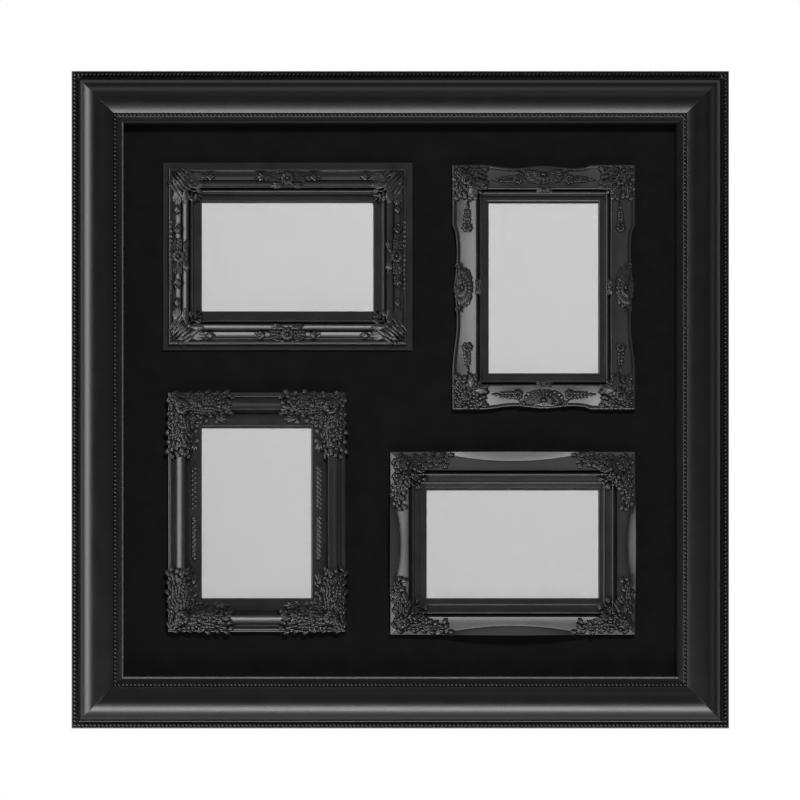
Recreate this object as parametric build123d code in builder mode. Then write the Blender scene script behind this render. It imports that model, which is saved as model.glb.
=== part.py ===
from build123d import *
from collections import namedtuple
from math import atan, cos, degrees, radians, sin
import os

# A square collage frame for a wall: four small ornate frames on a black board,
# inside one deep outer moulding. X points right, Z up, and the front faces -Y.
# Depths are measured forward from the wall, and the origin is the middle of the
# whole frame.

# Prints and what lies behind each glass
print_long = 152.4
print_short = 101.6
end_lip = 3.0
side_lip = 4.0
print_room = 1.05
pack_clearance = 0.4
glass_thickness = 2.0
print_thickness = 0.4
photo_back_thickness = 3.0

# Small ornate frames and how they are spaced
band = 31.0
reeded_band = 28.0
flange = 5.0
flange_thickness = 4.0
small_frame_height = 17.0
frame_gap = 36.0
group_margin = 35.0

# Outer moulding and board
rail_width = 45.0
rail_height = 36.0
rebate_width = 8.0
board_inset = 7.0
board_thickness = 6.0
board_clearance = 0.5
board_skin = 1.0

# Fixings hidden in the back
v_nail_leg = 7.0
v_nail_angle = 70.0
v_nail_thickness = 0.8
v_nail_height = 10.0
point_width = 6.0
point_bite = 6.0
point_reach = 9.0
point_thickness = 0.6
staple_crown = 10.0
staple_wire = 1.2
staple_bite = 6.5
screw_head_radius = 3.2
screw_head_height = 2.0
screw_clearance = 0.05
# Small round work is drawn with flats, the same number all round
flats = 16
wire_flats = 12

# Turn buttons on the back of the board
button_width = 9.0
button_reach = 14.0
button_corner = 2.4
button_thickness = 1.0
button_offset = 7.0
button_screw_radius = 1.5
running_gap = 0.3

# Hangers and wall bumpers
strap_width = 12.0
strap_length = 32.0
strap_thickness = 1.0
strap_corner = 2.0
eye_width = 9.0
eye_shoulder = 3.4
ring_wire_radius = 1.2
ring_leg = 4.0
ring_leg_gap = 1.0
ring_rest_tilt = 2.0
ring_bends = 5
hanger_drop = 150.0
hanger_screw_radius = 1.6
hanger_screw_bite = 13.0
hanger_screw_drop = 24.0
bumper_radius = 6.0
bumper_thickness = 5.0
bumper_inset = 45.0

# One overrun serves every cut
overrun = 2.0

# Shares that shape the mouldings: each row goes on from the last point, by a line
# to one point, or by an arc through one point to another. The first number of a
# point is its share of the width, from the outer edge in, and the second its
# share of the height.
rail_face_shares = [
    ((0.000, 0.520),),
    ((0.040, 0.545),),
    ((0.058, 0.585),),
    ((0.094, 0.585),),
    ((0.112, 0.545),),
    ((0.138, 0.522),),
    ((0.156, 0.556),),
    ((0.260, 0.870), (0.511, 1.000)),
    ((0.667, 0.974), (0.811, 0.897)),
    ((0.818, 0.865),),
    ((0.828, 0.890),),
    ((0.852, 0.890),),
    ((0.864, 0.860),),
    ((0.878, 0.830),),
    ((0.948, 0.820),),
    ((0.964, 0.846),),
    ((0.984, 0.846),),
    ((1.000, 0.824),),
]
reeded_face_shares = [
    ((0.00, 0.64),),
    ((0.05, 0.73),),
    ((0.11, 0.70),),
    ((0.15, 0.63),),
    ((0.20, 0.85),),
    ((0.29, 0.91),),
    ((0.35, 0.83),),
    ((0.39, 0.96),),
    ((0.47, 1.00),),
    ((0.54, 0.98),),
    ((0.58, 0.78),),
    ((0.62, 0.77),),
    ((0.645, 0.84),),
    ((0.675, 0.84),),
    ((0.70, 0.77),),
    ((0.96, 0.41),),
    ((1.00, 0.37),),
]
shell_face_shares = [
    ((0.00, 0.42),),
    ((0.03, 0.50),),
    ((0.08, 0.50),),
    ((0.10, 0.45),),
    ((0.32, 0.54),),
    ((0.50, 0.74),),
    ((0.62, 0.98),),
    ((0.67, 0.98),),
    ((0.69, 0.74),),
    ((0.74, 0.71),),
    ((0.76, 0.78),),
    ((0.79, 0.78),),
    ((0.86, 0.48),),
    ((0.94, 0.42),),
    ((1.00, 0.42),),
]
rose_face_shares = [
    ((0.00, 0.42),),
    ((0.03, 0.51),),
    ((0.08, 0.49),),
    ((0.11, 0.46),),
    ((0.15, 0.74),),
    ((0.21, 0.91),),
    ((0.28, 0.92),),
    ((0.34, 0.76),),
    ((0.38, 0.50),),
    ((0.46, 0.34),),
    ((0.54, 0.36),),
    ((0.60, 0.60),),
    ((0.70, 0.66),),
    ((0.82, 0.62),),
    ((0.92, 0.52),),
    ((1.00, 0.38),),
]
berry_face_shares = [
    ((0.00, 0.42),),
    ((0.20, 0.58),),
    ((0.25, 0.76),),
    ((0.33, 0.91),),
    ((0.42, 0.99),),
    ((0.50, 1.00),),
    ((0.52, 0.76),),
    ((0.59, 0.74),),
    ((0.61, 0.81),),
    ((0.63, 0.81),),
    ((0.66, 0.71),),
    ((0.81, 0.50),),
    ((0.84, 0.56),),
    ((0.90, 0.42),),
    ((1.00, 0.37),),
]

# Shares that place the carved leaves. A corner leaf runs from its root to its tip,
# both given from the frame's outer corner as shares of the band along the long and
# the short side, with a share of the height, and last its width as a share of the
# band. A side leaf is given the same way, but its first number is measured along
# the side from the middle.
reeded_corner_shares = [
    ((0.86, 0.86, 0.74), (0.05, 0.05, 0.60), 0.24),
    ((0.72, 0.84, 0.80), (0.04, 0.44, 0.62), 0.22),
    ((0.84, 0.72, 0.80), (0.44, 0.04, 0.62), 0.22),
    ((0.56, 0.80, 0.84), (0.06, 0.90, 0.62), 0.22),
    ((0.80, 0.56, 0.84), (0.90, 0.06, 0.62), 0.22),
    ((0.40, 0.84, 0.82), (0.16, 1.34, 0.74), 0.20),
    ((0.84, 0.40, 0.82), (1.34, 0.16, 0.74), 0.20),
]
reeded_side_shares = [
    ((0.00, 0.62, 0.84), (0.00, 0.02, 0.62), 0.22),
    ((0.08, 0.30, 0.84), (0.62, 0.16, 0.74), 0.20),
    ((-0.08, 0.30, 0.84), (-0.62, 0.16, 0.74), 0.20),
]
shell_corner_shares = [
    ((0.70, 0.70, 0.86), (0.03, 0.03, 0.60), 0.28),
    ((0.58, 0.66, 0.84), (0.03, 0.38, 0.58), 0.24),
    ((0.66, 0.58, 0.84), (0.38, 0.03, 0.58), 0.24),
    ((0.48, 0.72, 0.82), (0.05, 0.80, 0.56), 0.24),
    ((0.72, 0.48, 0.82), (0.80, 0.05, 0.56), 0.24),
    ((0.50, 0.80, 0.84), (0.34, 1.22, 0.68), 0.22),
    ((0.80, 0.50, 0.84), (1.22, 0.34, 0.68), 0.22),
]
shell_side_shares = [
    ((0.00, 0.80, 0.86), (0.00, 0.07, 0.60), 0.22),
    ((0.05, 0.74, 0.86), (0.34, 0.16, 0.60), 0.20),
    ((-0.05, 0.74, 0.86), (-0.34, 0.16, 0.60), 0.20),
    ((0.10, 0.66, 0.84), (0.62, 0.38, 0.62), 0.18),
    ((-0.10, 0.66, 0.84), (-0.62, 0.38, 0.62), 0.18),
]
rose_corner_shares = [
    ((0.52, 0.52, 0.88), (-0.02, -0.02, 0.56), 0.30),
    ((0.46, 0.56, 0.88), (-0.02, 0.40, 0.56), 0.26),
    ((0.56, 0.46, 0.88), (0.40, -0.02, 0.56), 0.26),
    ((0.36, 0.70, 0.88), (0.02, 0.86, 0.58), 0.26),
    ((0.70, 0.36, 0.88), (0.86, 0.02, 0.58), 0.26),
    ((0.32, 1.08, 0.88), (-0.06, 1.46, 0.54), 0.22),
    ((0.34, 0.86, 0.92), (0.30, 1.86, 0.84), 0.28),
    ((0.86, 0.34, 0.92), (1.86, 0.30, 0.84), 0.28),
    ((0.66, 0.84, 0.80), (0.72, 1.66, 0.62), 0.24),
    ((0.84, 0.66, 0.80), (1.66, 0.72, 0.62), 0.24),
    ((0.62, 0.62, 0.86), (0.96, 0.96, 0.48), 0.26),
]
berry_corner_shares = [
    ((0.62, 0.62, 0.90), (0.02, 0.02, 0.58), 0.30),
    ((0.56, 0.70, 0.88), (0.03, 0.48, 0.56), 0.24),
    ((0.70, 0.56, 0.88), (0.48, 0.03, 0.56), 0.24),
    ((0.44, 0.80, 0.90), (0.14, 1.20, 0.66), 0.22),
    ((0.80, 0.44, 0.90), (1.44, 0.14, 0.66), 0.22),
    ((0.66, 0.80, 0.84), (0.80, 1.22, 0.58), 0.20),
    ((0.80, 0.66, 0.84), (1.22, 0.80, 0.58), 0.20),
]
# A boss is a round button on a corner: its place, its top and its radius
rose_boss_shares = [(0.50, 0.50, 1.00, 0.20)]
berry_boss_shares = [(0.50, 0.71, 0.98, 0.10), (0.71, 0.48, 0.98, 0.10)]
leaf_rise_share = 0.14
leaf_skirt_share = 0.34
leaf_keel_share = 0.30
# Half a leaf's outline, as shares of its length and of its width
leaf_outline_shares = [(0.36, 0.50), (0.74, 0.34)]
boss_sides = 10
boss_taper = 35.0
boss_skirt_share = 0.45
# A small frame's staples: out from the window's middle and across the band
staple_reach_share = 0.36
staple_band_share = 0.69

# The serpentine edge of the shell frame: where its hollows begin and end, from
# the middle of a side as shares of half that side, and their depth
hollow_inner_share = 0.22
hollow_outer_share = 0.62
hollow_depth = 3.4
# The long shallow scoops in the outer bevel of the berry frame
scoop_half_share = 0.52
scoop_depth = 7.5
scoop_taper = 40.0
scoop_drop_share = 0.50

# Where fixings sit along a side, as shares of its length
v_nail_shares = (0.24, 0.60)
point_shares = (0.20, 0.50, 0.80)

# Sizes that follow
window_long = print_long - 2 * end_lip
window_short = print_short - 2 * side_lip
recess_long = print_long + 2 * print_room
recess_short = print_short + 2 * print_room
small_long = window_long + 2 * band
small_short = window_short + 2 * band
group_side = small_long + frame_gap + small_short
sight_side = group_side + 2 * group_margin
frame_side = sight_side + 2 * rail_width
overall_depth = bumper_thickness + rail_height
wall_y = overall_depth / 2
rail_back = bumper_thickness
board_back = rail_back + board_inset
board_front = board_back + board_thickness
glass_back = board_front + print_thickness
filler_thickness = board_thickness - photo_back_thickness
button_screw_reach = board_thickness - board_skin
flat_back_width = rail_width - rebate_width
long_offset = (group_side - small_long) / 2
short_offset = (group_side - small_short) / 2

Window = namedtuple("Window", "name x z upright")
windows = [
    Window("reeded", -long_offset, short_offset, False),
    Window("shell", short_offset, long_offset, True),
    Window("rose", -short_offset, -long_offset, True),
    Window("berry", long_offset, -short_offset, False),
]
written = []


def keep(part, name):
    """Label a finished piece and write it to its own file."""
    part.label = name
    export_step(part, f"parts/{name}.step")
    written.append(name)


def front_plane(forward, x=0, z=0):
    """A plane that faces the room, a given distance in front of the wall."""
    return Plane(origin=(x, wall_y - forward, z), x_dir=(1, 0, 0), z_dir=(0, -1, 0))


def window_plane(window, forward):
    """The same plane centred on a window, with its X along the window's long side."""
    long_way = (0, 0, 1) if window.upright else (1, 0, 0)
    middle = (window.x, wall_y - forward, window.z)
    return Plane(origin=middle, x_dir=long_way, z_dir=(0, -1, 0))


def side_frame(turn):
    """The start corner and the two directions of one outer side: along it and inward."""
    start = Vector(-frame_side / 2, wall_y - rail_back, -frame_side / 2)
    corner = start.rotate(Axis.Y, turn)
    along = Vector(1, 0, 0).rotate(Axis.Y, turn)
    inward = Vector(0, 0, 1).rotate(Axis.Y, turn)
    return corner, along, inward


def face_line(shares, width, height, outer, start):
    """Draw a moulding's face from its outer wall to its sight edge and return the end."""
    last = start
    for row in shares:
        points = [(outer + share[0] * width, share[1] * height) for share in row]
        if len(points) == 1:
            Line(last, points[0])
        else:
            ThreePointArc(last, points[0], points[1])
        last = points[-1]
    return last


# Steel fixings that the rails are cut for

def make_v_nails():
    """Two V-shaped nails across each mitre, driven flush into the back."""
    half_angle = radians(v_nail_angle / 2)
    run = v_nail_leg * cos(half_angle)
    spread = v_nail_leg * sin(half_angle)
    wall = v_nail_thickness / sin(half_angle)
    tail = v_nail_thickness / cos(half_angle)
    with BuildPart() as v_nails:
        for turn in range(0, 360, 90):
            corner, along, inward = side_frame(turn)
            for share in v_nail_shares:
                apex = corner + (along + inward) * (share * rail_width)
                lay = Plane(origin=apex, x_dir=along + inward, z_dir=(0, -1, 0))
                with BuildSketch(lay):
                    with BuildLine():
                        Polyline(
                            (0, 0),
                            (-run, spread),
                            (-run, spread - tail),
                            (-wall, 0),
                            (-run, tail - spread),
                            (-run, -spread),
                            close=True,
                        )
                    make_face()
                extrude(amount=v_nail_height)
    return v_nails.part


def staple_spots():
    """The four staples behind a small frame, two along each long side."""
    along = staple_reach_share * window_long
    out = window_short / 2 + staple_band_share * band
    return [(across * along, way * out) for across in (1, -1) for way in (1, -1)]


def make_staples():
    """Wide staples shot through the board into the backs of the small frames."""
    leg_out = (staple_crown - staple_wire) / 2
    with BuildPart() as staples:
        for window in windows:
            for across, up in staple_spots():
                with BuildSketch(window_plane(window, board_back)):
                    with Locations((across - leg_out, up), (across + leg_out, up)):
                        Rectangle(staple_wire, staple_wire)
                extrude(amount=board_thickness + staple_bite)
                with BuildSketch(window_plane(window, board_back)):
                    with Locations((across, up)):
                        Rectangle(staple_crown, staple_wire)
                extrude(amount=-staple_wire)
    return staples.part


def make_points():
    """Flat steel points driven into the rebate wall to hold the board in."""
    with BuildPart() as points:
        for turn in range(0, 360, 90):
            corner, along, inward = side_frame(turn)
            step = Vector(0, -(board_inset - point_thickness), 0)
            for share in point_shares:
                foot = corner + along * (share * frame_side) + inward * flat_back_width + step
                with BuildSketch(Plane(origin=foot, x_dir=inward, z_dir=(0, -1, 0))):
                    with BuildLine():
                        Polyline(
                            (-point_bite, 0),
                            (-point_bite / 2, point_width / 2),
                            (point_reach, point_width / 2),
                            (point_reach, -point_width / 2),
                            (-point_bite / 2, -point_width / 2),
                            close=True,
                        )
                    make_face()
                extrude(amount=point_thickness)
    return points.part


def hanger_spots():
    """The middle of each hanger's eye on the back of the two side rails."""
    reach = (frame_side - flat_back_width) / 2
    height = frame_side / 2 - hanger_drop
    return [("left", -reach, height), ("right", reach, height)]


def make_rail(turn, v_nails, points):
    """One mitred side of the outer moulding, with its rebate and its pockets."""
    corner, along, inward = side_frame(turn)
    far_corner = corner + along * frame_side
    rebate_depth = board_inset + board_thickness
    with BuildPart() as rail:
        with BuildSketch(Plane(origin=corner, x_dir=inward, z_dir=along)):
            with BuildLine():
                end = face_line(rail_face_shares, rail_width, rail_height, 0, (0, 0))
                Polyline(
                    end,
                    (rail_width, rebate_depth),
                    (flat_back_width, rebate_depth),
                    (flat_back_width, 0),
                    (0, 0),
                )
            make_face()
        extrude(amount=frame_side)
        split(bisect_by=Plane(origin=corner, z_dir=along - inward), keep=Keep.TOP)
        split(bisect_by=Plane(origin=far_corner, z_dir=-along - inward), keep=Keep.TOP)
        add(v_nails, mode=Mode.SUBTRACT)
        add(points, mode=Mode.SUBTRACT)
        with BuildSketch(front_plane(rail_back)):
            with Locations(*[(x, z - hanger_screw_drop) for side, x, z in hanger_spots()]):
                RegularPolygon(hanger_screw_radius + screw_clearance, flats, major_radius=False)
        extrude(amount=hanger_screw_bite, mode=Mode.SUBTRACT)
    return rail.part


# The board and what stands behind each window

def button_spots(window):
    """The two pivots of a window's turn buttons, in the window's own plane."""
    reach = recess_short / 2 + button_offset
    return [("lower", (0, -reach), 90), ("upper", (0, reach), -90)]


def make_board(staples):
    """The black board with a cut-out behind every window."""
    side = frame_side - 2 * flat_back_width - 2 * board_clearance
    with BuildPart() as board:
        with BuildSketch(front_plane(board_back)):
            Rectangle(side, side)
        extrude(amount=board_thickness)
        for window in windows:
            with BuildSketch(window_plane(window, board_back)):
                Rectangle(recess_long, recess_short)
            extrude(amount=board_thickness, mode=Mode.SUBTRACT)
            with BuildSketch(window_plane(window, board_back)):
                with Locations(*[spot for name, spot, turn in button_spots(window)]):
                    RegularPolygon(
                        button_screw_radius + screw_clearance, flats, major_radius=False
                    )
            extrude(amount=button_screw_reach, mode=Mode.SUBTRACT)
        add(staples, mode=Mode.SUBTRACT)
    return board.part


def make_sheet(window, forward, long_side, short_side, thickness):
    """A flat rectangular sheet in a window's recess: glass, print, card or back."""
    with BuildPart() as sheet:
        with BuildSketch(window_plane(window, forward)):
            Rectangle(long_side, short_side)
        extrude(amount=thickness)
    return sheet.part


def make_turn_button(window, spot, turn):
    """A flat steel bar that turns on its screw and keeps a photo back in."""
    lay = window_plane(window, board_back - running_gap - button_thickness)
    with BuildPart() as button:
        with BuildSketch(lay):
            with Locations(Location((spot[0], spot[1], 0), (0, 0, turn))):
                with Locations((button_reach / 2, 0)):
                    bar = Rectangle(button_reach + button_width, button_width)
                chamfer(bar.vertices(), length=button_corner)
                Circle(button_screw_radius + screw_clearance, mode=Mode.SUBTRACT)
        extrude(amount=button_thickness)
    return button.part


def make_screws(places, shank_radius, shank_length):
    """Pan-head screws, each set out on the plane of its head's seat."""
    with BuildPart() as screws:
        for lay in places:
            with BuildSketch(lay):
                RegularPolygon(screw_head_radius, flats)
            extrude(amount=-screw_head_height)
            with BuildSketch(lay):
                RegularPolygon(shank_radius, flats)
            extrude(amount=shank_length)
    return screws.part


# Small ornate frames, modelled on their backs and then stood on the board

def carve_leaf(root, tip, width, rise, skirt):
    """A carved leaf from root to tip: a pointed oval with a keel, on a skirt."""
    run = tip - root
    up = Vector(0, 0, 1)
    face_up = up - run * (up.dot(run) / run.dot(run))
    slope = degrees(atan(width * (1 - leaf_keel_share) / 2 / rise))
    with BuildPart() as leaf:
        with BuildSketch(Plane(origin=root, x_dir=run, z_dir=face_up)) as outline:
            with BuildLine():
                half = [(along * run.length, out * width) for along, out in leaf_outline_shares]
                other = [(along, -out) for along, out in reversed(half)]
                Polyline((0, 0), *half, (run.length, 0), *other, close=True)
            make_face()
        extrude(amount=rise, taper=slope)
        extrude(outline.sketch, amount=-skirt)
    return leaf.part


def corner_leaves(shares, half_long, half_short, width):
    """The same spray of leaves carved on all four corners of a small frame."""
    height = small_frame_height
    leaves = []
    for across in (1, -1):
        for up in (1, -1):
            for root, tip, leaf_share in shares:
                ends = [
                    Vector(
                        across * (half_long - place[0] * width),
                        up * (half_short - place[1] * width),
                        place[2] * height,
                    )
                    for place in (root, tip)
                ]
                leaves.append(
                    carve_leaf(
                        ends[0],
                        ends[1],
                        leaf_share * width,
                        leaf_rise_share * height,
                        leaf_skirt_share * height,
                    )
                )
    return leaves


def side_leaves(shares, half_long, half_short, width):
    """The same leaves carved on the middle of all four sides."""
    height = small_frame_height
    leaves = []
    for way in (1, -1):
        for root, tip, leaf_share in shares:
            long_ends = []
            short_ends = []
            for place in (root, tip):
                along = place[0] * width
                lift = place[2] * height
                long_ends.append(Vector(along, way * (half_short - place[1] * width), lift))
                short_ends.append(Vector(way * (half_long - place[1] * width), along, lift))
            for ends in (long_ends, short_ends):
                leaves.append(
                    carve_leaf(
                        ends[0],
                        ends[1],
                        leaf_share * width,
                        leaf_rise_share * height,
                        leaf_skirt_share * height,
                    )
                )
    return leaves


def corner_bosses(shares, half_long, half_short, width):
    """Round buttons, such as a rose's heart or a berry, on all four corners."""
    bosses = []
    for across in (1, -1):
        for up in (1, -1):
            for long_share, short_share, top_share, radius_share in shares:
                radius = radius_share * width
                top = top_share * small_frame_height
                spot = (
                    across * (half_long - long_share * width),
                    up * (half_short - short_share * width),
                )
                rise = radius / 2
                with BuildPart() as boss:
                    with BuildSketch(Plane.XY.offset(top - rise)) as ground:
                        with Locations(spot):
                            RegularPolygon(radius, boss_sides)
                    extrude(amount=rise, taper=boss_taper)
                    extrude(ground.sketch, amount=-boss_skirt_share * small_frame_height)
                bosses.append(boss.part)
    return bosses


def serpentine_outline(half_long, half_short):
    """The shell frame's edge: shallow hollows either side of the middle of each side."""
    corners = [
        (half_long, half_short),
        (-half_long, half_short),
        (-half_long, -half_short),
        (half_long, -half_short),
    ]
    for number in range(4):
        start = Vector(*corners[number])
        end = Vector(*corners[(number + 1) % 4])
        middle = (start + end) / 2
        inward = middle.normalized() * -hollow_depth
        marks = [start]
        for way in (start, end):
            reach = way - middle
            bounds = [middle + reach * hollow_outer_share, middle + reach * hollow_inner_share]
            centre = (bounds[0] + bounds[1]) / 2 + inward
            if way is end:
                bounds.reverse()
            Line(marks[-1], bounds[0])
            ThreePointArc(bounds[0], centre, bounds[1])
            marks.append(bounds[1])
        Line(marks[-1], end)


def make_small_frame(
    window, shares, width, carving, staples, serpentine=False, scooped=False, flanged=False
):
    """One small frame: a mitred moulding, its carved leaves, rebate and staple slots."""
    half_long = window_long / 2 + width
    half_short = window_short / 2 + width
    with BuildPart() as moulding:
        with BuildSketch(Plane.XZ):
            with BuildLine():
                foot = (half_long, 0)
                outer = (half_long, flange_thickness)
                Line(foot, outer)
                end = face_line(shares, -width, small_frame_height, half_long, outer)
                Polyline(end, (window_long / 2, 0), foot)
            make_face()
        with BuildLine() as sight_edge:
            Polyline(
                (window_long / 2, 0),
                (window_long / 2, window_short / 2),
                (-window_long / 2, window_short / 2),
                (-window_long / 2, -window_short / 2),
                (window_long / 2, -window_short / 2),
                close=True,
            )
        sweep(path=sight_edge.wires()[0], transition=Transition.RIGHT)
        if serpentine:
            with BuildSketch():
                with BuildLine():
                    serpentine_outline(half_long, half_short)
                make_face()
            extrude(amount=small_frame_height + overrun, mode=Mode.INTERSECT)
        if scooped:
            for half, reach, out in (
                (half_long, half_short, (0, 1, 0)),
                (half_long, half_short, (0, -1, 0)),
                (half_short, half_long, (1, 0, 0)),
                (half_short, half_long, (-1, 0, 0)),
            ):
                edge = Vector(*out) * reach + Vector(0, 0, small_frame_height)
                along = Vector(*out).cross(Vector(0, 0, 1))
                with BuildSketch(Plane(origin=edge, x_dir=along, z_dir=(0, 0, 1))):
                    with BuildLine():
                        scoop_outline(half * scoop_half_share)
                    make_face()
                extrude(
                    amount=-scoop_drop_share * small_frame_height,
                    taper=scoop_taper,
                    mode=Mode.SUBTRACT,
                )
        if flanged:
            with BuildSketch():
                Rectangle(2 * (half_long + flange), 2 * (half_short + flange))
                Rectangle(window_long + width, window_short + width, mode=Mode.SUBTRACT)
            extrude(amount=flange_thickness)
        add(carving)
        with BuildSketch():
            Rectangle(recess_long, recess_short)
        extrude(amount=print_thickness + glass_thickness, mode=Mode.SUBTRACT)
    with BuildPart() as standing:
        with Locations(window_plane(window, board_front).location):
            add(moulding.part)
        add(staples, mode=Mode.SUBTRACT)
    return standing.part


def scoop_outline(reach):
    """A long shallow segment of a circle, deepest at the middle of the side."""
    lap = scoop_depth + overrun
    ThreePointArc((-reach, 0), (0, -scoop_depth), (reach, 0))
    Polyline((reach, 0), (reach, lap), (-reach, lap), (-reach, 0))


# Hangers and bumpers

def make_strap(x, z):
    """A hanger strap screwed to a side rail, rolled into an eye at its upper end."""
    bore = ring_wire_radius + screw_clearance
    eye_radius = bore + strap_thickness
    axis_forward = rail_back - eye_radius
    with BuildPart() as strap:
        with BuildSketch(front_plane(rail_back - strap_thickness, x, z)):
            with Locations((0, -(eye_shoulder + strap_length) / 2)):
                bar = Rectangle(strap_width, strap_length - eye_shoulder)
            chamfer(bar.vertices(), length=strap_corner)
            with Locations((0, -eye_shoulder / 2)):
                Rectangle(eye_width, eye_shoulder)
            with Locations((0, -hanger_screw_drop)):
                RegularPolygon(
                    hanger_screw_radius + screw_clearance,
                    flats,
                    major_radius=False,
                    mode=Mode.SUBTRACT,
                )
        extrude(amount=strap_thickness)
        side = Plane(
            origin=(x - eye_width / 2, wall_y - axis_forward, z),
            x_dir=(0, 1, 0),
            z_dir=(1, 0, 0),
        )
        with BuildSketch(side):
            RegularPolygon(eye_radius, flats)
        extrude(amount=eye_width)
        with BuildSketch(side):
            Circle(bore)
        extrude(amount=eye_width, mode=Mode.SUBTRACT)
    return strap.part


def make_ring(x, z):
    """A D-shaped wire ring whose bar turns in the strap's eye, hanging down at rest."""
    bore = ring_wire_radius + screw_clearance
    axis_y = wall_y - (rail_back - bore - strap_thickness)
    half = strap_width / 2 + ring_leg_gap + ring_wire_radius
    tilt = radians(ring_rest_tilt)
    down = Vector(0, sin(tilt), -cos(tilt))
    lay = Plane(origin=(x, axis_y, z), x_dir=(1, 0, 0), z_dir=Vector(1, 0, 0).cross(down))
    bends = []
    for number in range(ring_bends + 1):
        turn = radians(180 * number / ring_bends)
        bends.append((half * cos(turn), ring_leg + half * sin(turn)))
    with BuildPart() as ring:
        with BuildLine(lay) as path:
            Polyline((0, 0), (half, 0), *bends, (-half, 0), close=True)
        with BuildSketch(Plane(origin=(x, axis_y, z), z_dir=(1, 0, 0))):
            RegularPolygon(ring_wire_radius, wire_flats)
        sweep(path=path.wires()[0], transition=Transition.RIGHT)
    return ring.part


def make_bumpers():
    """Soft bumpers near the lower corners that hold the frame off the wall."""
    reach = frame_side / 2 - bumper_inset
    drop = (frame_side - flat_back_width) / 2
    with BuildPart() as bumpers:
        with BuildSketch(front_plane(rail_back)):
            with Locations((-reach, -drop), (reach, -drop)):
                RegularPolygon(bumper_radius, flats)
        extrude(amount=-bumper_thickness)
    return bumpers.part


def main():
    os.makedirs("parts", exist_ok=True)

    v_nails = make_v_nails()
    points = make_points()
    staples = make_staples()
    keep(v_nails, "corner_v_nails")
    keep(points, "board_points")
    keep(staples, "frame_staples")
    for number, side in enumerate(("bottom_rail", "left_rail", "top_rail", "right_rail")):
        keep(make_rail(90 * number, v_nails, points), side)
    keep(make_board(staples), "backing_board")

    long_reeded = window_long / 2 + reeded_band
    short_reeded = window_short / 2 + reeded_band
    half_long = small_long / 2
    half_short = small_short / 2
    reeded_carving = corner_leaves(
        reeded_corner_shares, long_reeded, short_reeded, reeded_band
    ) + side_leaves(reeded_side_shares, long_reeded, short_reeded, reeded_band)
    shell_carving = corner_leaves(
        shell_corner_shares, half_long, half_short, band
    ) + side_leaves(shell_side_shares, half_long, half_short, band)
    rose_carving = corner_leaves(
        rose_corner_shares, half_long, half_short, band
    ) + corner_bosses(rose_boss_shares, half_long, half_short, band)
    berry_carving = corner_leaves(
        berry_corner_shares, half_long, half_short, band
    ) + corner_bosses(berry_boss_shares, half_long, half_short, band)
    reeded, shell, rose, berry = windows
    keep(
        make_small_frame(
            reeded, reeded_face_shares, reeded_band, reeded_carving, staples, flanged=True
        ),
        "reeded_frame",
    )
    keep(
        make_small_frame(shell, shell_face_shares, band, shell_carving, staples, serpentine=True),
        "shell_frame",
    )
    keep(make_small_frame(rose, rose_face_shares, band, rose_carving, staples), "rose_frame")
    keep(
        make_small_frame(berry, berry_face_shares, band, berry_carving, staples, scooped=True),
        "berry_frame",
    )

    pack_long = recess_long - 2 * pack_clearance
    pack_short = recess_short - 2 * pack_clearance
    filler_back = board_back + photo_back_thickness
    button_seat = board_back - 2 * running_gap - button_thickness
    button_seats = []
    for window in windows:
        glass = make_sheet(window, glass_back, pack_long, pack_short, glass_thickness)
        keep(glass, f"{window.name}_glass")
        photo = make_sheet(window, board_front, print_long, print_short, print_thickness)
        keep(photo, f"{window.name}_print")
        filler = make_sheet(window, filler_back, pack_long, pack_short, filler_thickness)
        keep(filler, f"{window.name}_filler_card")
        back = make_sheet(window, board_back, pack_long, pack_short, photo_back_thickness)
        keep(back, f"{window.name}_photo_back")
        for side, spot, turn in button_spots(window):
            button = make_turn_button(window, spot, turn)
            keep(button, f"{window.name}_turn_button_{side}")
            seat = window_plane(window, button_seat)
            seat.origin = seat.from_local_coords(Vector(*spot))
            button_seats.append(seat)
    button_shank = button_screw_reach + 2 * running_gap + button_thickness
    keep(make_screws(button_seats, button_screw_radius, button_shank), "turn_button_screws")

    hanger_seats = []
    for side, x, z in hanger_spots():
        keep(make_strap(x, z), f"{side}_hanger_strap")
        keep(make_ring(x, z), f"{side}_hanger_ring")
        hanger_seats.append(front_plane(rail_back - strap_thickness, x, z - hanger_screw_drop))
    hanger_shank = strap_thickness + hanger_screw_bite - screw_clearance
    keep(make_screws(hanger_seats, hanger_screw_radius, hanger_shank), "hanger_screws")
    keep(make_bumpers(), "wall_bumpers")
    print(f"{frame_side:.1f} mm square, {overall_depth:.1f} mm deep, {len(written)} pieces")


main()
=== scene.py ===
# %% [markdown]
# # Dressing a collage photo frame
# The real object is a square black frame for a wall. A deep outer moulding, made of
# four mitred rails with two rows of pearls, holds a plain board. On the board stand
# four small ornate frames, each cast with its carving and painted black.
# The construction model gives every size and place. This lesson loads it, keeps its
# glass, papers, board and fixings, and models the mouldings again with their fine
# lines, pearls and carved leaves.

# %% Load the construction model
from math import atan2, cos, degrees, hypot, pi, radians, sin

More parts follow.
